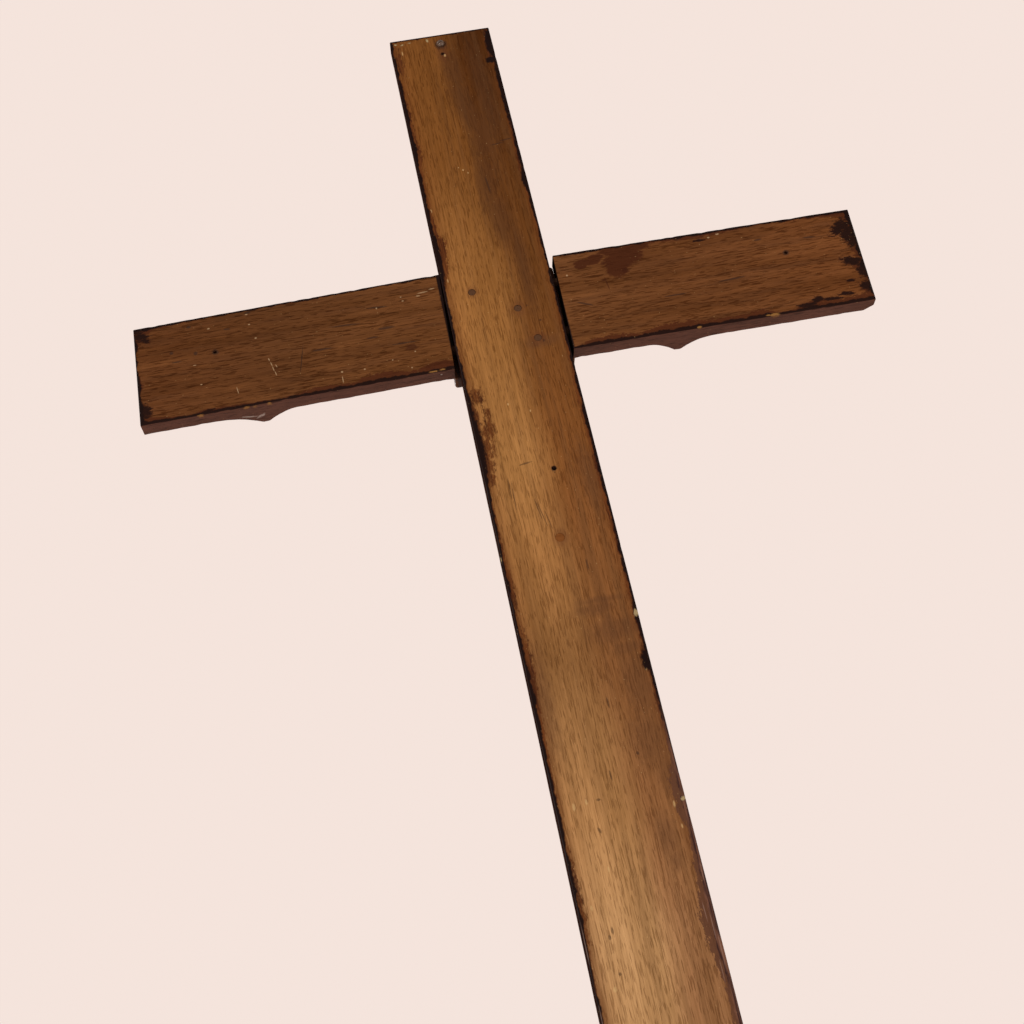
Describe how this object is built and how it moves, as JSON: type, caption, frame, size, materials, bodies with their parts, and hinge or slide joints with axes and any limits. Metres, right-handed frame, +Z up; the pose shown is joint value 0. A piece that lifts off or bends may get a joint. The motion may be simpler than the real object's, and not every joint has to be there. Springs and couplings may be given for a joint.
{
  "type": "processional cross",
  "caption": "Plain-backed wooden Latin cross: an upright and two butted, dowelled arms with carved knots and a square block on the front of the crossing.",
  "frame": {"origin": "middle of the foot's end face, halfway through the boards' thickness", "axes": "+Z up the upright, +X along the arms to the right as seen from the plain back, -Y out of the plain back, +Y out of the carved front"},
  "size_m": [0.6, 0.0342, 1.2],
  "materials": {
    "upright_oak": "worn golden-brown oak, open grain, dark varnish left along the arrises",
    "arm_oak": "worn mid-brown oak, open grain, dark varnish left along the arrises",
    "block_wood": "dark reddish-brown varnish, satin",
    "dowel_wood": "bare",
    "plug_wood": "stained, matt",
    "nail_iron": "dull, rusted",
    "screw_steel": "worn"
  },
  "bodies": {
    "root": {"upright_board": "upright_oak", "left_arm": "arm_oak", "right_arm": "arm_oak", "crossing_block": "block_wood", "left_arm_dowel_upper": "dowel_wood", "left_arm_dowel_lower": "dowel_wood", "right_arm_dowel_upper": "dowel_wood", "right_arm_dowel_lower": "dowel_wood", "block_nail_upper": "nail_iron", "block_nail_middle": "nail_iron", "block_nail_lower": "nail_iron", "hanging_screw": "screw_steel", "wood_plug": "plug_wood"}
  },
  "joints": []
}
